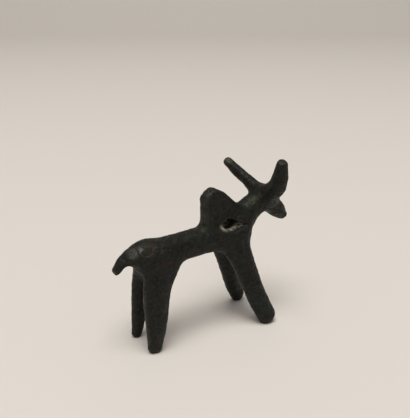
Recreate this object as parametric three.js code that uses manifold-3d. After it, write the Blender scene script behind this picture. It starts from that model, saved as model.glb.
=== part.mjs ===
// A humped bull (zebu), cast in bronze as one solid piece, about 57 mm long.
// It was modelled in wax: a thick roll for the trunk, thinner rolls pressed on for the legs, neck, horns
// and tail, and a slab set on edge for the hump. A hole at the foot of the hump takes a hanging cord.
// Here each roll is a chain of balls along a curve. A smooth union runs the rolls together, as a thumb
// would, and the surface of the whole is meshed. Then the hole is drilled and the feet are worn flat.
//
// Millimetres. +X points to the head, +Y to the animal's left and +Z up.
// The origin is on the ground, under the middle of the whole.

import * as THREE from "three";
import { mergeVertices } from "three/addons/utils/BufferGeometryUtils.js";
import Module from "manifold-3d";

const wasm = await Module();
wasm.setup();

// The stance
const stance = 36.5; // hind feet to fore feet
const hindSpread = 9.8; // between the two hind feet
const foreSpread = 16.2; // between the two fore feet
const footWear = 0.35; // height worn off the round foot ends, which leaves small flats

// The trunk
const rumpHeight = 26.85; // of its centre line
const rumpRadius = 4.35;
const trunkHeight = 27.5;
const trunkRadius = 4.0;
const shoulderRadius = 4.4;

// The head, lifted and a little turned
const headX = 21.4;
const headHeight = 36.4;
const skullRadius = 3.1;

// The hump, a slab on edge
const humpRear = 0.4; // its rear face
const humpTop = 42.5;
const humpThickness = 4.5;
const humpEdge = 1.7; // radius of its rounded edges

// The cord hole across the foot of the hump
const holeX = 7.0;
const holeHeight = 31.7;
const holeRadius = 1.4;
const holeWear = 0.2; // how much longer than high it gets, for each millimetre out from the middle
const holeDrag = 0.45; // how far its mouths lean towards the head, for each millimetre out
const holeTail = 5; // how far from its axis a mouth has run out into a groove
const tailPinch = 0.6; // how much narrower than the mouth the groove gets
const tailDrop = 0.55; // how much lower it gets

// How far the wax was smeared at the joints
const neckJoint = 4.5;
const thighJoint = 3.1;
const chinJoint = 1.2;
const firmJoint = 2.2; // everywhere else

const legPress = 1.3; // how much wider than thick the legs are
const meshStep = 1.07;

const hindX = -stance / 2;
const foreX = stance / 2;
const hindHalf = hindSpread / 2;
const foreHalf = foreSpread / 2;

// A station of a roll: a place on its centre line, and its radius there
const at = (x, y, z, radius) => ({ place: new THREE.Vector3(x, y, z), radius });

// A roll of wax through a few stations, as a distance that is negative inside it. The centre line and
// the radius both follow smooth curves. A roll that is pressed flat is thinner across (in Y) than wide.
function roll(stations, pressed = 1) {
  const ballsPerStretch = 4;
  const line = new THREE.CatmullRomCurve3(stations.map((s) => s.place));
  const girth = new THREE.SplineCurve(stations.map((s) => new THREE.Vector2(s.radius, 0)));
  const count = (stations.length - 1) * ballsPerStretch;
  const balls = [];
  for (let i = 0; i <= count; i++) {
    const place = line.getPoint(i / count);
    balls.push({ place: place.setY(place.y * pressed), radius: girth.getPoint(i / count).x });
  }
  return ({ x, y, z }) => {
    const p = { x, y: y * pressed, z };
    let nearest = Infinity;
    for (let i = 1; i < balls.length; i++) {
      nearest = Math.min(nearest, coneDistance(p, balls[i - 1], balls[i]));
    }
    return nearest;
  };
}

// Distance from p to the cone that wraps two balls
function coneDistance(p, a, b) {
  const dx = b.place.x - a.place.x;
  const dy = b.place.y - a.place.y;
  const dz = b.place.z - a.place.z;
  const px = p.x - a.place.x;
  const py = p.y - a.place.y;
  const pz = p.z - a.place.z;
  const along = (px * dx + py * dy + pz * dz) / (dx * dx + dy * dy + dz * dz);
  const share = THREE.MathUtils.clamp(along, 0, 1);
  const away = Math.hypot(px - share * dx, py - share * dy, pz - share * dz);
  return away - (a.radius + share * (b.radius - a.radius));
}

// A slab on edge in the middle plane, as a distance. Its outline is given by corners in X and Z, and
// the slab is larger than that outline by the radius of its edges.
function slab(corners, thickness, edge) {
  return (p) => {
    const across = Math.abs(p.y) - (thickness / 2 - edge);
    const beyond = outlineDistance(corners, p.x, p.z);
    const inside = Math.min(Math.max(across, beyond), 0);
    return inside + Math.hypot(Math.max(across, 0), Math.max(beyond, 0)) - edge;
  };
}

// Distance from (x, z) to an outline, negative inside it
function outlineDistance(corners, x, z) {
  let nearest = Infinity;
  let inside = false;
  corners.forEach(([ax, az], i) => {
    const [bx, bz] = corners[(i + 1) % corners.length];
    const ex = bx - ax;
    const ez = bz - az;
    const along = ((x - ax) * ex + (z - az) * ez) / (ex * ex + ez * ez);
    const share = THREE.MathUtils.clamp(along, 0, 1);
    nearest = Math.min(nearest, Math.hypot(x - ax - share * ex, z - az - share * ez));
    if (az > z !== bz > z && x < ax + ((z - az) * ex) / ez) inside = !inside;
  });
  return inside ? -nearest : nearest;
}

// Smooth union of two distances, which fills the corner between them over about the given width
function join(a, b, width) {
  const overlap = Math.max(width - Math.abs(a - b), 0) / width;
  return Math.min(a, b) - (overlap * overlap * width) / 4;
}

const trunk = roll([
  at(hindX + 1.2, 0, rumpHeight, rumpRadius),
  at(hindX + 8, 0, trunkHeight - 0.5, trunkRadius),
  at(0, 0, trunkHeight, trunkRadius),
  at(foreX - 11, 0, trunkHeight + 0.3, shoulderRadius),
  at(foreX - 7.5, 0, trunkHeight + 0.5, shoulderRadius),
]);

const tail = roll([
  at(hindX + 1, 0, rumpHeight + 0.6, 3.2),
  at(hindX - 2.6, 0, rumpHeight + 0.85, 2.65),
  at(hindX - 6.0, 0, rumpHeight + 0.1, 1.65),
  at(hindX - 8.1, 0, rumpHeight - 2.1, 1.25),
]);

const neck = roll([
  at(foreX - 8, 0, trunkHeight + 1, 3.9),
  at(foreX - 4, 0, trunkHeight + 4.6, 3.7),
  at(foreX, 0, trunkHeight + 7.3, 3.5),
  at(headX + 0.6, 0, headHeight - 0.1, 3.0),
]);

const skull = roll([
  at(headX + 0.5, 0.2, headHeight - 0.3, skullRadius),
  at(headX + 1.7, -0.5, headHeight - 0.7, skullRadius),
]);

const muzzle = roll([
  at(headX + 2.5, 0, headHeight - 2.0, 2.85),
  at(headX + 5.0, 0, headHeight - 4.3, 2.6),
  at(headX + 7.2, 0, headHeight - 6.2, 1.85),
]);

// The hump rises straight behind, is rounded on top and slopes down to the neck
const humpRearCore = humpRear + humpEdge;
const humpTopCore = humpTop - humpEdge;
const hump = slab(
  [
    [humpRearCore, trunkHeight + 1.5],
    [humpRearCore, humpTopCore - 1.3],
    [humpRearCore + 1.6, humpTopCore],
    [humpRearCore + 4.1, humpTopCore - 1.4],
    [humpRearCore + 10.2, humpTopCore - 7.2],
    [humpRearCore + 8.9, trunkHeight + 1.5],
  ],
  humpThickness,
  humpEdge,
);

// The left horn stands out sideways. The right one is thicker, and turns up.
const leftHorn = roll([
  at(headX + 0.4, 1.5, headHeight + 0.55, 2.35),
  at(headX - 1.2, 5.5, headHeight + 3.7, 1.8),
  at(headX - 3.0, 9, headHeight + 6.3, 1.65),
  at(headX - 4.4, 11.85, headHeight + 8.65, 1.4),
]);
const rightHorn = roll([
  at(headX - 0.1, -1.8, headHeight + 1.4, 2.8),
  at(headX + 0.4, -5.4, headHeight + 4.3, 2.7),
  at(headX + 0.2, -7.4, headHeight + 7.8, 2.3),
  at(headX + 0.1, -8.1, headHeight + 11.75, 1.7),
]);

// A leg from the trunk down to its foot. The side is 1 for a left leg and -1 for a right one.
function leg(side, stations) {
  return roll(
    stations.map(([x, out, z, radius]) => at(x, side * out, z, radius)),
    legPress,
  );
}

const rightHindLeg = leg(-1, [
  [hindX + 4.8, 2.2, 24.4, 4.8],
  [hindX + 2.0, 3.6, 18, 4.0],
  [hindX + 0.9, hindHalf - 0.1, 8.5, 3.15],
  [hindX + 0.2, hindHalf, 2.25 - footWear, 2.25],
]);
const leftHindLeg = leg(1, [
  [hindX + 2.2, 2.4, 23.5, 3.75],
  [hindX + 1.1, 3.8, 17, 2.95],
  [hindX + 0.5, hindHalf - 0.1, 8, 2.4],
  [hindX - 0.5, hindHalf, 1.65 - footWear, 1.6],
]);
const rightForeLeg = leg(-1, [
  [foreX - 7.9, 2.8, 24.5, 3.95],
  [foreX - 5.2, 4.6, 16, 3.25],
  [foreX - 2.85, foreHalf - 1.2, 8, 3.05],
  [foreX - 0.4, foreHalf, 2.75 - footWear, 2.9],
]);
const leftForeLeg = leg(1, [
  [foreX - 8.9, 2.8, 24.5, 3.95],
  [foreX - 5.9, 4.6, 16, 3.05],
  [foreX - 2.4, foreHalf - 1.2, 7, 2.55],
  [foreX + 0.3, foreHalf, 2.3 - footWear, 2.35],
]);

// The pieces in the order they are pressed on, each with the width of its joint
const pieces = [
  [rightHindLeg, thighJoint],
  [leftHindLeg, thighJoint],
  [rightForeLeg, firmJoint],
  [leftForeLeg, firmJoint],
  [neck, neckJoint],
  [tail, firmJoint],
  [hump, firmJoint],
  [skull, firmJoint],
  [muzzle, chinJoint],
  [leftHorn, firmJoint],
  [rightHorn, firmJoint],
];

// The whole animal as one distance
const animal = (p) => pieces.reduce((d, [piece, width]) => join(d, piece(p), width), trunk(p));

// Meshes the surface where a distance is zero, inside the box from low to high. Each cell of a grid that
// the surface crosses gets one vertex. Each grid edge that it crosses gets one quad, between the four
// cells around that edge.
function meshSurface(distance, low, high, step) {
  const [nx, ny, nz] = new THREE.Vector3().subVectors(high, low).divideScalar(step).ceil().toArray();
  const index = (i, j, k) => (k * ny + j) * nx + i;
  const corner = (i, j, k) => new THREE.Vector3(i, j, k).multiplyScalar(step).add(low);
  const values = new Float64Array(nx * ny * nz);
  for (let k = 0; k < nz; k++) {
    for (let j = 0; j < ny; j++) {
      for (let i = 0; i < nx; i++) values[index(i, j, k)] = distance(corner(i, j, k));
    }
  }

  // A cell's corners are numbered so that bit 0 of the number is the step in X, bit 1 in Y and bit 2 in Z
  const cellCorners = Array.from({ length: 8 }, (_, n) => new THREE.Vector3(n & 1, (n >> 1) & 1, n >> 2));
  const cellEdges = [];
  for (let a = 0; a < 8; a++) {
    for (const bit of [1, 2, 4]) if (!(a & bit)) cellEdges.push([a, a | bit]);
  }

  const places = [];
  const vertexOf = new Map();
  for (let k = 0; k < nz - 1; k++) {
    for (let j = 0; j < ny - 1; j++) {
      for (let i = 0; i < nx - 1; i++) {
        const around = cellCorners.map((c) => values[index(i + c.x, j + c.y, k + c.z)]);
        const crossed = cellEdges.filter(([a, b]) => around[a] < 0 !== around[b] < 0);
        if (crossed.length === 0) continue;
        const sum = new THREE.Vector3();
        for (const [a, b] of crossed) {
          const share = around[a] / (around[a] - around[b]);
          sum.add(new THREE.Vector3().lerpVectors(cellCorners[a], cellCorners[b], share));
        }
        vertexOf.set(index(i, j, k), places.length);
        places.push(sum.multiplyScalar(step / crossed.length).add(corner(i, j, k)));
      }
    }
  }

  const strides = [index(1, 0, 0), index(0, 1, 0), index(0, 0, 1)];
  const triangles = [];
  for (let k = 1; k < nz - 1; k++) {
    for (let j = 1; j < ny - 1; j++) {
      for (let i = 1; i < nx - 1; i++) {
        const here = index(i, j, k);
        strides.forEach((along, axis) => {
          const inside = values[here] < 0;
          if (inside === values[here + along] < 0) return;
          const u = strides[(axis + 1) % 3];
          const v = strides[(axis + 2) % 3];
          const quad = [here - u - v, here - v, here, here - u].map((n) => vertexOf.get(n));
          const [a, b, c, d] = inside ? quad : quad.reverse();
          triangles.push(a, b, c, a, c, d);
        });
      }
    }
  }
  return { places, triangles };
}

// Moves a point onto the surface, by a few short steps down the slope of the distance
function settle(distance, p, step) {
  const probe = step / 20;
  const longest = 0.3 * step;
  for (let n = 0; n < 3; n++) {
    const here = distance(p);
    const slope = new THREE.Vector3(
      distance(p.clone().setX(p.x + probe)) - here,
      distance(p.clone().setY(p.y + probe)) - here,
      distance(p.clone().setZ(p.z + probe)) - here,
    ).divideScalar(probe);
    p.addScaledVector(slope, -here / Math.max(slope.lengthSq(), Math.abs(here) / longest));
  }
  return p;
}

// Evens out a mesh: each vertex goes to the middle of its neighbours, then back onto the surface
function evenOut({ places, triangles }, distance, step, rounds) {
  const neighbours = places.map(() => new Set());
  for (let t = 0; t < triangles.length; t += 3) {
    const [a, b, c] = triangles.slice(t, t + 3);
    neighbours[a].add(b).add(c);
    neighbours[b].add(c).add(a);
    neighbours[c].add(a).add(b);
  }
  let moved = places;
  for (let n = 0; n < rounds; n++) {
    const middles = neighbours.map((near) => {
      const sum = new THREE.Vector3();
      for (const other of near) sum.add(moved[other]);
      return sum.divideScalar(near.size);
    });
    moved = middles.map((p) => settle(distance, p, step));
  }
  return { places: moved, triangles };
}

function solidOf({ places, triangles }) {
  return new wasm.Manifold(
    new wasm.Mesh({
      numProp: 3,
      vertProperties: new Float32Array(places.flatMap((p) => p.toArray())),
      triVerts: new Uint32Array(triangles),
    }),
  );
}

// A solid of a three.js shape: its corners are welded, and triangles that this shrinks to a line go
function solidOfShape(shape) {
  shape.deleteAttribute("normal");
  shape.deleteAttribute("uv");
  const welded = mergeVertices(shape, 1e-4);
  const places = [];
  for (let i = 0; i < welded.attributes.position.count; i++) {
    places.push(new THREE.Vector3().fromBufferAttribute(welded.attributes.position, i));
  }
  const triangles = [];
  for (let i = 0; i < welded.index.count; i += 3) {
    const [a, b, c] = [0, 1, 2].map((n) => welded.index.getX(i + n));
    if (a !== b && b !== c && c !== a) triangles.push(a, b, c);
  }
  return solidOf({ places, triangles });
}

// The cutter for the cord hole: a rod turned about Y. Where it comes out it widens, leans to the head and
// tapers off into a short groove that the cord has worn.
function holeCutter() {
  const reach = 6.5;
  const half = [
    [0, reach],
    [holeRadius + 0.9, reach],
    [holeRadius + 0.6, 4.2],
    [holeRadius + 0.4, 3.0],
    [holeRadius + 0.15, 2.2],
    [holeRadius, 1.4],
  ];
  const profile = [
    ...half.map(([radius, out]) => new THREE.Vector2(radius, -out)),
    ...half.map(([radius, out]) => new THREE.Vector2(radius, out)).reverse(),
  ];
  const rod = new THREE.LatheGeometry(profile, 20);
  const position = rod.attributes.position;
  for (let i = 0; i < position.count; i++) {
    const out = Math.abs(position.getY(i));
    const x = position.getX(i) * (1 + holeWear * out) + holeDrag * out;
    const along = THREE.MathUtils.smoothstep(x, 0, holeTail);
    position.setX(i, x);
    position.setZ(i, position.getZ(i) * (1 - tailPinch * along) - tailDrop * along);
  }
  return solidOfShape(rod.translate(holeX, 0, holeHeight));
}

function groundCutter() {
  const wide = 100;
  const deep = 20;
  return solidOfShape(new THREE.BoxGeometry(wide, wide, deep).translate(0, 0, -deep / 2));
}

function castFigure() {
  const low = new THREE.Vector3(-32, -15, -4);
  const high = new THREE.Vector3(34, 17, 52);
  const surface = evenOut(meshSurface(animal, low, high, meshStep), animal, meshStep, 3);
  const cast = solidOf(surface).subtract(holeCutter()).subtract(groundCutter()).getMesh();

  const geometry = new THREE.BufferGeometry();
  geometry.setAttribute("position", new THREE.BufferAttribute(new Float32Array(cast.vertProperties), 3));
  geometry.setIndex(new THREE.BufferAttribute(new Uint32Array(cast.triVerts), 1));
  geometry.computeBoundingBox();
  const middle = geometry.boundingBox.getCenter(new THREE.Vector3());
  geometry.translate(-middle.x, -middle.y, 0);
  geometry.computeVertexNormals();
  return geometry;
}

const darkBronze = new THREE.MeshStandardMaterial({ color: 0x35342c, roughness: 0.55, metalness: 0.6 });

const figure = new THREE.Mesh(castFigure(), darkBronze);
figure.name = "zebu_figure";

const zebu = new THREE.Group();
zebu.add(figure);

export default zebu;
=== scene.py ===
# %% [markdown]
# # A small humped bull in cast bronze
#
# The real thing is a solid casting, about 58 mm long. Somebody rolled out wax, pressed the rolls together, stood
# a slab on edge for the hump and pierced it for a cord. The wax was cast in bronze, and the bronze has since worn,
# been buried and turned almost black.
#
# The measured solid comes from the CAD program. This lesson grows a fine skin over it, models the marks that the
# fingers, the cord and the ground left, and gives it its patina. Then it sets up the floor, the light and the camera.

# %% Load the measured solid
import math

import bmesh
import bpy
import numpy as np
from mathutils import Matrix, Vector, noise


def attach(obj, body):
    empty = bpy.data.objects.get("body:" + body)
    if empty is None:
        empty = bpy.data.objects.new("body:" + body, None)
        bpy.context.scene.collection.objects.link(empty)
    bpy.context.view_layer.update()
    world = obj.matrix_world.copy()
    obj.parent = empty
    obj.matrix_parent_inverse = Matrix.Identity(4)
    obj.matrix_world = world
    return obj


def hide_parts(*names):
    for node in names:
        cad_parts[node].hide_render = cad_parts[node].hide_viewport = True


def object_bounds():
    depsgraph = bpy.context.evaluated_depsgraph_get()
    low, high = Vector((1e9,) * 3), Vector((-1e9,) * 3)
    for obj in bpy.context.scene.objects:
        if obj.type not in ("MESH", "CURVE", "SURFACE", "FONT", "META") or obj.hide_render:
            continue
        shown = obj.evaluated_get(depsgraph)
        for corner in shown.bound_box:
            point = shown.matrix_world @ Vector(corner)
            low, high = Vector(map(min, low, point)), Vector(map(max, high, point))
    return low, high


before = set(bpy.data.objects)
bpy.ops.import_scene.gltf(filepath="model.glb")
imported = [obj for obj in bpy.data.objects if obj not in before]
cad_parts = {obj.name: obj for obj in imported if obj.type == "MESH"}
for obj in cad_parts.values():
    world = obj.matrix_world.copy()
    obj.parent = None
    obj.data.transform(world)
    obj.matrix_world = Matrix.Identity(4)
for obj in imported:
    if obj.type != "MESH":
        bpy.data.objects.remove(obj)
solid_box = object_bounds()
print("the solid reaches from", [round(v * 1000, 2) for v in solid_box[0]], "to", [round(v * 1000, 2) for v in solid_box[1]], "mm")

# %% [markdown]
# ## The camera
#
# The photographer stood a little above the bull and behind its right side. The camera comes first, because every
# later choice is judged through it. Blender's usual sensor is 36 mm on the long side of the picture.

# %% Set up the camera
MM = 0.001
eye = Vector((-90.95, -144.98, 99.15)) * MM
aim = Vector((15.72, 23.75, 25.70)) * MM

camera_data = bpy.data.cameras.new("camera")
camera_data.lens = 56.0
camera_data.sensor_width = 36.0
camera_data.clip_start = 0.005
camera_data.clip_end = 10.0
camera = bpy.data.objects.new("camera", camera_data)
bpy.context.scene.collection.objects.link(camera)
camera.location = eye
camera.rotation_euler = (aim - eye).to_track_quat("-Z", "Y").to_euler()
bpy.context.scene.camera = camera
print("the camera is", round((aim - eye).length / MM), "mm from what it looks at")

# %% [markdown]
# ## A fine skin
#
# The solid is made of triangles about a millimetre long, which is too coarse for pits and dents. A copy of it is
# welded, rounded with a subdivision, and then rebuilt by the Remesh modifier, which lays an even grid of small
# squares over any closed shape. A last light smoothing takes the stair steps of the grid away.
#
# A subdivision also shrinks what it rounds: a thin horn would lose a tenth of its width. So the corners of the copy
# are first let out, a little at a time, until the rounded surface passes through the places where they were.
#
# Modifiers keep their numbers in the scene's own unit. The copy is worked on in millimetres, so that a voxel or a
# pit is a number that a maker would say, and it goes back to metres at the end.

# %% Weld, round and remesh a copy of the solid
skin_step = 0.235
let_out_rounds = 4

bull = bpy.data.objects.new("bronze_bull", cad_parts["zebu_figure"].data.copy())
bpy.context.scene.collection.objects.link(bull)
bull.data.transform(Matrix.Scale(1 / MM, 4))

welder = bmesh.new()
welder.from_mesh(bull.data)
bmesh.ops.remove_doubles(welder, verts=welder.verts, dist=0.001)
welder.to_mesh(bull.data)
welder.free()


def add_modifier(obj, kind, **settings):
    """Puts a modifier on the object, with these settings."""
    modifier = obj.modifiers.new(kind.lower(), kind)
    for name, value in settings.items():
        setattr(modifier, name, value)
    return modifier


def result_of(obj):
    """The mesh that the object's modifiers give. They are taken off."""
    made = bpy.data.meshes.new_from_object(obj.evaluated_get(bpy.context.evaluated_depsgraph_get()))
    obj.modifiers.clear()
    return made


def places_of(mesh):
    """The places of a mesh's points, one in each row."""
    flat = np.empty(len(mesh.vertices) * 3, np.float32)
    mesh.vertices.foreach_get("co", flat)
    return flat.reshape(-1, 3).astype(float)


def set_places(mesh, places):
    """Puts a mesh's points in these places."""
    mesh.vertices.foreach_set("co", places.astype(np.float32).ravel())
    mesh.update()


wanted = places_of(bull.data)
corners = wanted.copy()
for _ in range(let_out_rounds):
    add_modifier(bull, "SUBSURF", levels=1, render_levels=1)
    short_by = wanted - places_of(result_of(bull))[: len(wanted)]
    corners += 0.8 * np.clip(short_by, -0.1, 0.1)
    set_places(bull.data, corners)

add_modifier(bull, "SUBSURF", levels=2, render_levels=2)
add_modifier(bull, "REMESH", mode="VOXEL", voxel_size=skin_step)
add_modifier(bull, "SMOOTH", factor=0.5, iterations=2)
bull.data = result_of(bull)
print("the skin has", len(bull.data.vertices), "points and", len(bull.data.polygons), "faces")

# %% [markdown]
# ## Tools for working the skin
#
# A sculptor's tools move the surface in or out along its own direction. Here each tool answers one question for
# every point of the skin: how much does it feel the tool? 1 is under the middle of it and 0 is out of reach. The
# answer times a depth is a dent or a ridge, and the same answer can be kept as a mask for the patina.
#
# Places on the bull are in millimetres, from a point on the ground under its middle. X points to the head, Y to
# the bull's left and Z up.

# %% Read the skin and make the tools
count = len(bull.data.vertices)
points = places_of(bull.data)
normals = np.empty(count * 3, np.float32)
bull.data.vertex_normals.foreach_get("vector", normals)
outward = normals.reshape(-1, 3).astype(float)

edge_ends = np.empty(len(bull.data.edges) * 2, np.int32)
bull.data.edges.foreach_get("vertices", edge_ends)
edge_ends = edge_ends.reshape(-1, 2)


def falloff(distance, reach):
    """1 under the tool, easing to 0 at its reach."""
    inside = np.clip(1 - (distance / reach) ** 2, 0, 1)
    return inside * inside


def dab(centre, reach):
    """A round touch."""
    return falloff(np.linalg.norm(points - np.array(centre, float), axis=1), reach)


def stroke(path, reach):
    """A touch drawn along a line of places."""
    nearest = np.full(count, 1e9)
    for start, end in zip(path[:-1], path[1:]):
        start, end = np.array(start, float), np.array(end, float)
        along = np.clip((points - start) @ (end - start) / ((end - start) @ (end - start)), 0, 1)
        nearest = np.minimum(nearest, np.linalg.norm(points - start - along[:, None] * (end - start), axis=1))
    return falloff(nearest, reach)


def unevenness(size, seed, octaves=2):
    """Smooth noise from about -1 to 1, with lumps about this many millimetres across."""
    shift = Vector((seed * 17.3, seed * 5.1, seed * 9.7))
    return np.array([noise.fractal(Vector(p) / size + shift, 0.9, 2.1, octaves) for p in points])


def move(amount):
    """Moves the skin out by this much, or in where the amount is negative."""
    global points
    points = points + outward * np.asarray(amount, float).reshape(-1, 1)


def file_flat(centre, facing, reach, depth):
    """Files a flat place: whatever stands out past a plane, this deep under the centre, is taken off."""
    global points
    facing = np.array(facing, float) / np.linalg.norm(facing)
    past = (points - np.array(centre, float)) @ facing + depth
    taken = np.clip(past, 0, None) * (dab(centre, reach * 1.4) > 0.25) * np.clip(outward @ facing, 0, 1)
    points = points - taken[:, None] * facing


def smoothed(values, rounds):
    """Values of the points, each averaged again and again with its neighbours'."""
    neighbours = np.bincount(edge_ends.ravel(), minlength=count)
    for _ in range(rounds):
        total = np.bincount(edge_ends[:, 0], values[edge_ends[:, 1]], count)
        total += np.bincount(edge_ends[:, 1], values[edge_ends[:, 0]], count)
        values = 0.5 * values + 0.5 * total / neighbours
    return values


print("the tools are ready for", count, "points")

# %% [markdown]
# ## Marks of the hand
#
# Wax that is rolled between the fingers is never even. Broad shallow waves, a few millimetres long, run over the
# whole body, and smaller lumps lie on them. Where the legs and the hump were pressed flat they have edges, which
# still show as ridges.

# %% Roll the wax unevenly
broad = unevenness(5.0, 1)
lumps = unevenness(1.7, 2)
move(0.10 * broad + 0.09 * lumps)
print("the wax waves up and down by", round(float(np.ptp(0.10 * broad + 0.09 * lumps)), 2), "mm")

# %% Raise the pressed edges
right_hind_edge = [(-22.2, -1.7, 23.6), (-21.6, -3.7, 23.5), (-21.8, -5.7, 17.4), (-21.9, -6.4, 12), (-21.7, -7.0, 4.7)]
right_fore_edge = [(4.4, -3.2, 23.2), (5.5, -4.4, 22.2), (6.3, -5.5, 20.7), (7.4, -6.2, 18.0), (9.0, -7.0, 13.3), (10.4, -8.2, 8.9)]
hump_edge = [(-0.6, -2.9, 33.2), (-0.7, -3.1, 37.0), (-0.6, -3.0, 39.6), (0.2, -1.9, 41.4), (1.3, -1.6, 42.2)]
edge_width = 1.0

hind_ridge = stroke(right_hind_edge, edge_width)
fore_ridge = stroke(right_fore_edge, edge_width)
hump_ridge = stroke(hump_edge, edge_width)
move(0.30 * hind_ridge + 0.25 * fore_ridge + 0.22 * hump_ridge)
print("three ridges, up to 0.3 mm high")

# %% [markdown]
# ## The head
#
# The face is very plain. The mouth is a shallow slit along the muzzle, the right horn has a lump at its foot like a
# brow, and a hollow lies behind it where an eye or an ear might be.

# %% Model the face
mouth = stroke([(19.6, -4.6, 34.0), (20.4, -4.7, 33.8), (21.6, -4.4, 33.2), (22.9, -4.1, 32.7)], 0.5)
lip = stroke([(20.5, -3.5, 32.5), (22.2, -3.3, 31.6), (24.7, -3.8, 31.2)], 0.8)
brow = dab((20.6, -10.0, 41.0), 1.6)
eye_hollow = dab((17.1, -4.7, 39.1), 1.3)
horn_fork = dab((17.4, -5.4, 40.5), 1.2)
move(-0.28 * mouth + 0.12 * lip + 0.25 * brow - 0.30 * eye_hollow - 0.15 * horn_fork)
file_flat((27.9, -0.6, 30.6), (0.86, -0.2, -0.45), 2.2, 0.25)
print("the mouth is", round(0.28, 2), "mm deep")

# %% [markdown]
# ## Wear
#
# The figure hung on a cord for years. The root of the tail, the rear corner of the hump and the horn tips rubbed
# on things and have small flat facets.

# %% File the worn places
worn_facets = [
    ((-23.6, -3.0, 29.3), (-0.40, -0.66, 0.64), 1.5, 0.22),
    ((-21.9, -3.6, 30.0), (-0.30, -0.60, 0.74), 1.3, 0.20),
    ((-20.2, -4.5, 29.6), (-0.25, -0.85, 0.46), 1.4, 0.18),
    ((-25.6, -2.3, 28.7), (-0.60, -0.55, 0.58), 1.2, 0.15),
    ((0.4, -1.3, 41.6), (-0.62, -0.25, 0.75), 1.2, 0.25),
    ((19.3, -10.2, 49.4), (-0.20, -0.45, 0.87), 1.2, 0.25),
    ((14.7, 9.8, 46.0), (-0.55, -0.50, 0.66), 1.2, 0.20),
]
for facet in worn_facets:
    file_flat(*facet)
print(len(worn_facets), "facets")

# %% [markdown]
# ## Pits and grain
#
# Bronze that has lain in the ground is eaten in small pits. They are pressed in one by one, at places that a
# seeded random choice picks from the skin's own points, so that they come out the same each time.

# %% Eat small pits into the bronze
chance = np.random.default_rng(7)
pit_count = 520
pitting = np.zeros(count)
for place in chance.choice(count, pit_count, replace=False):
    reach = chance.uniform(0.3, 0.8)
    pitting = np.maximum(pitting, dab(points[place], reach) * chance.uniform(0.3, 1.0))
grain = unevenness(0.7, 3, 3)
move(0.035 * grain - 0.14 * pitting)
print(pit_count, "pits")

# %% [markdown]
# ## Masks for the patina
#
# Colour follows shape on an old bronze: ridges are rubbed and paler, and hollows hold dirt. A smoothed copy of the
# skin tells which is which, because a ridge stands out of it and a hollow lies under it. Three masks also carry
# painted light: the pressed edges and the worn places are painted paler partly as a highlight, and the top of the
# neck is painted lighter for the light that falls on it. The masks are kept on the mesh as attributes, which the
# material can read by name.

# %% Keep the masks on the mesh
lowest = np.array(solid_box[0]) / MM
highest = np.array(solid_box[1]) / MM
points = np.clip(points, lowest, highest)

even = np.stack([smoothed(points[:, axis], 12) for axis in range(3)], axis=1)
relief = np.sum((points - even) * outward, axis=1)
print("ridges stand up to", round(float(relief.max()), 2), "mm out, and hollows lie up to", round(float(-relief.min()), 2), "mm deep")

hole_shelf = [(3.6, -4.6, 31.4), (4.4, -4.9, 30.5), (6.3, -4.4, 30.1), (8.7, -4.3, 30.7), (9.7, -4.7, 31.1)]
masks = {
    "raised": np.clip(relief / 0.06, 0, 1),
    "hollow": np.clip(-relief / 0.06, 0, 1),
    # The pressed edges are painted paler: partly rubbed wear, partly a painted highlight where they catch the light.
    "edge_wear_and_highlight": np.maximum.reduce([hind_ridge, fore_ridge, 0.8 * hump_ridge]),
    # The worn places are painted pale grey: partly bared metal, partly a painted highlight for the glints on the tail
    # root, the hump's corner and the horn tips.
    "rubbed_and_glint": np.maximum.reduce([dab((-23.3, -3.2, 29.5), 2.6), dab((-21.5, -3.7, 30.1), 1.7), dab((0.6, -1.2, 41.7), 1.6), dab((19.3, -10.3, 49.3), 1.3), dab((14.9, 9.6, 45.9), 2.2)]),
    "ochre": dab((-19.0, -4.6, 30.0), 2.8),
    "red": dab((-16.2, -7.2, 25.4), 3.0),
    "violet": np.maximum(stroke([(-16.2, -7.5, 23.9), (-15.6, -7.6, 19.2)], 2.6), 0.8 * stroke([(1.8, -3.2, 39.0), (2.8, -3.3, 36.2)], 2.8)),
    "blue_green": stroke([(13.7, -10.8, 7.8), (15.5, -11.4, 4.6)], 3.0),
    # The stroke along the top of the neck is painted light tinted green: that top is painted lighter for the light that
    # falls on it. The patch at the foot of the hump is green patina.
    "green": np.maximum(dab((-1.3, -1.6, 33.2), 4.0), stroke([(12.9, -2.8, 36.4), (14.0, -3.0, 36.9), (15.6, -3.4, 37.6)], 2.2)),
    "deposit": stroke(hole_shelf, 1.1),
}
for name, values in masks.items():
    attribute = bull.data.attributes.new(name, "FLOAT", "POINT")
    attribute.data.foreach_set("value", np.asarray(values, np.float32))
print("masks:", ", ".join(masks))

# %% Bring the bull back to metres
set_places(bull.data, points)
bull.data.transform(Matrix.Scale(MM, 4))
for face in bull.data.polygons:
    face.use_smooth = True
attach(bull, "root")
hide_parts("zebu_figure")

# %% [markdown]
# ## Patina
#
# Old bronze is hardly metal to look at: it wears a dull, almost black crust of olive and brown. The material is
# built up like the real patina, one layer over another, though the coats on the pressed edges, the worn places and
# the top of the neck are partly painted highlight and painted light. Each layer has a colour and a factor that says
# where it shows: a mask from the mesh, broken up by noise so that no edge is clean.

# %% Helpers for a layered material


def tone(red, green, blue):
    """A colour as a picture gives it, from 0 to 255, in the plain light values that Blender mixes."""
    parts = [v / 255 for v in (red, green, blue)]
    return tuple(v / 12.92 if v <= 0.04045 else ((v + 0.055) / 1.055) ** 2.4 for v in parts) + (1.0,)


bronze = bpy.data.materials.new("old_bronze")
bronze.use_nodes = True
nodes = bronze.node_tree.nodes
links = bronze.node_tree.links
surface = nodes["Principled BSDF"]
where = nodes.new("ShaderNodeTexCoord").outputs["Object"]


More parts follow.
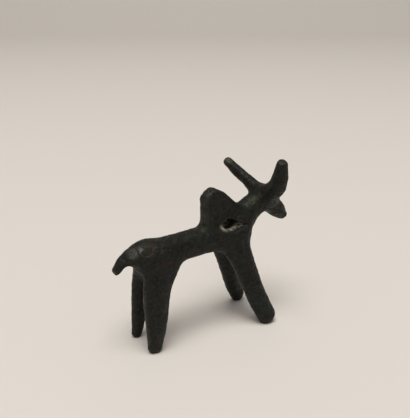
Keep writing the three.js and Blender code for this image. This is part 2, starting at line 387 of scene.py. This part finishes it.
def plug(socket, value):
    """Puts a number, a colour or another node's result into a socket."""
    if isinstance(value, bpy.types.NodeSocket):
        links.new(value, socket)
    else:
        socket.default_value = value


def calculate(operation, a, b):
    """The sum, product or the like of two values, kept between 0 and 1."""
    node = nodes.new("ShaderNodeMath")
    node.operation = operation
    node.use_clamp = True
    plug(node.inputs[0], a)
    plug(node.inputs[1], b)
    return node.outputs[0]


def speckle(size, seed, detail=3.0, low=0.4, high=0.6):
    """Noise with spots about this many millimetres across. It is 0 below low and 1 above high."""
    moved = nodes.new("ShaderNodeMapping")
    moved.inputs["Location"].default_value = (seed * 1.7, seed * 0.9, seed * 2.3)
    moved.inputs["Scale"].default_value = (1 / (size * MM),) * 3
    links.new(where, moved.inputs["Vector"])
    texture = nodes.new("ShaderNodeTexNoise")
    texture.inputs["Scale"].default_value = 1.0
    texture.inputs["Detail"].default_value = detail
    links.new(moved.outputs["Vector"], texture.inputs["Vector"])
    stretch = nodes.new("ShaderNodeMapRange")
    stretch.interpolation_type = "SMOOTHSTEP"
    stretch.inputs["From Min"].default_value = low
    stretch.inputs["From Max"].default_value = high
    links.new(texture.outputs["Fac"], stretch.inputs["Value"])
    return stretch.outputs["Result"]


def mask(name):
    """One of the masks that were kept on the mesh."""
    node = nodes.new("ShaderNodeAttribute")
    node.attribute_name = name
    return node.outputs["Fac"]


def blend(kind, below, above, factor):
    """Mixes two colours or two numbers. The factor says how much of the upper one shows."""
    node = nodes.new("ShaderNodeMix")
    node.data_type = kind
    pair = {"RGBA": (6, 7, 2), "FLOAT": (2, 3, 0)}[kind]
    plug(node.inputs[0], factor)
    plug(node.inputs[pair[0]], below)
    plug(node.inputs[pair[1]], above)
    return node.outputs[pair[2]]


# %% Lay the patina on in coats
crust = blend("RGBA", tone(27, 29, 23), tone(21, 20, 17), speckle(2.6, 1))
crust = blend("RGBA", crust, tone(41, 43, 36), calculate("MULTIPLY", speckle(0.8, 2, 4.0, 0.48, 0.66), 0.7))
crust = blend("RGBA", crust, tone(14, 15, 12), calculate("MULTIPLY", speckle(0.6, 3, 4.0, 0.50, 0.68), 0.7))

coats = [
    (tone(35, 35, 26), "hollow", 0.45, 0.9),
    (tone(46, 46, 40), "raised", 0.50, 0.7),
    # Green: patina, and on the top of the neck a painted light.
    (tone(54, 58, 38), "green", 0.55, 1.1),
    (tone(62, 50, 34), "ochre", 0.60, 0.8),
    (tone(46, 30, 27), "red", 0.60, 1.2),
    (tone(34, 31, 36), "violet", 0.60, 1.6),
    (tone(26, 41, 37), "blue_green", 0.55, 1.2),
    # Paler pressed edges: rubbed wear and a painted highlight.
    (tone(62, 56, 54), "edge_wear_and_highlight", 0.80, 0.6),
    # Worn places: rubbed metal and a painted highlight.
    (tone(72, 71, 65), "rubbed_and_glint", 0.70, 0.5),
    (tone(150, 142, 126), "deposit", 1.00, 0.9),
]
for number, (colour, name, strength, size) in enumerate(coats):
    ragged = calculate("MULTIPLY", speckle(size, 10 + number, 4.0, 0.32, 0.58), strength)
    crust = blend("RGBA", crust, colour, calculate("MULTIPLY", mask(name), ragged))
plug(surface.inputs["Base Color"], crust)

roughness = blend("FLOAT", 0.62, 0.45, speckle(1.4, 4))
roughness = blend("FLOAT", roughness, 0.40, mask("rubbed_and_glint"))
plug(surface.inputs["Roughness"], roughness)
plug(surface.inputs["Metallic"], blend("FLOAT", 0.1, 0.4, mask("rubbed_and_glint")))
surface.inputs["Specular IOR Level"].default_value = 0.2

bumps = nodes.new("ShaderNodeBump")
bumps.inputs["Strength"].default_value = 0.5
bumps.inputs["Distance"].default_value = 0.05 * MM
plug(bumps.inputs["Height"], speckle(0.35, 5, 5.0, 0.25, 0.75))
plug(surface.inputs["Normal"], bumps.outputs["Normal"])

bull.data.materials.clear()
bull.data.materials.append(bronze)
print("the patina has", 3 + len(coats), "coats")

# %% [markdown]
# ## Floor and light
#
# A sheet of pale card lies under the bull and curves up far behind it.

# %% Lay the floor
floor_half = 1.6
bend_at = 0.9
bend_radius = 0.5
profile = [(-floor_half, 0.0), (bend_at, 0.0)]
for step in range(1, 17):
    turn = math.radians(90 * step / 16)
    profile.append((bend_at + bend_radius * math.sin(turn), bend_radius * (1 - math.cos(turn))))
profile.append((bend_at + bend_radius, 2.0))

away = Vector((aim.x - eye.x, aim.y - eye.y, 0)).normalized()
across = Vector((away.y, -away.x, 0))
card_points, card_faces = [], []
for reach, height in profile:
    for side in (-2.0, 2.0):
        card_points.append(away * reach + across * side + Vector((0, 0, height)))
for i in range(len(profile) - 1):
    card_faces.append((2 * i, 2 * i + 1, 2 * i + 3, 2 * i + 2))
card_mesh = bpy.data.meshes.new("card")
card_mesh.from_pydata(card_points, [], card_faces)
for face in card_mesh.polygons:
    face.use_smooth = True
card = bpy.data.objects.new("card", card_mesh)
bpy.context.scene.collection.objects.link(card)

paper = bpy.data.materials.new("pale_card")
paper.use_nodes = True
paper.node_tree.nodes["Principled BSDF"].inputs["Base Color"].default_value = tone(232, 226, 219)
paper.node_tree.nodes["Principled BSDF"].inputs["Roughness"].default_value = 0.9
card_mesh.materials.append(paper)

# %% Hang the lights


def soft_light(name, place, target, width, watts, colour):
    """A square light that faces its target."""
    data = bpy.data.lights.new(name, "AREA")
    data.shape = "SQUARE"
    data.size = width
    data.energy = watts
    data.color = colour
    lamp = bpy.data.objects.new(name, data)
    lamp.location = place
    lamp.rotation_euler = (Vector(target) - Vector(place)).to_track_quat("-Z", "Y").to_euler()
    bpy.context.scene.collection.objects.link(lamp)
    return lamp


soft_light("overhead", (-0.25, -0.30, 1.50), (0, 0, 0), 0.90, 18.0, (1.0, 0.98, 0.95))

world = bpy.data.worlds.new("room")
world.use_nodes = True
world.node_tree.nodes["Background"].inputs["Color"].default_value = (1.0, 0.98, 0.95, 1.0)
world.node_tree.nodes["Background"].inputs["Strength"].default_value = 0.25
bpy.context.scene.world = world
bpy.context.scene.view_settings.view_transform = "Standard"
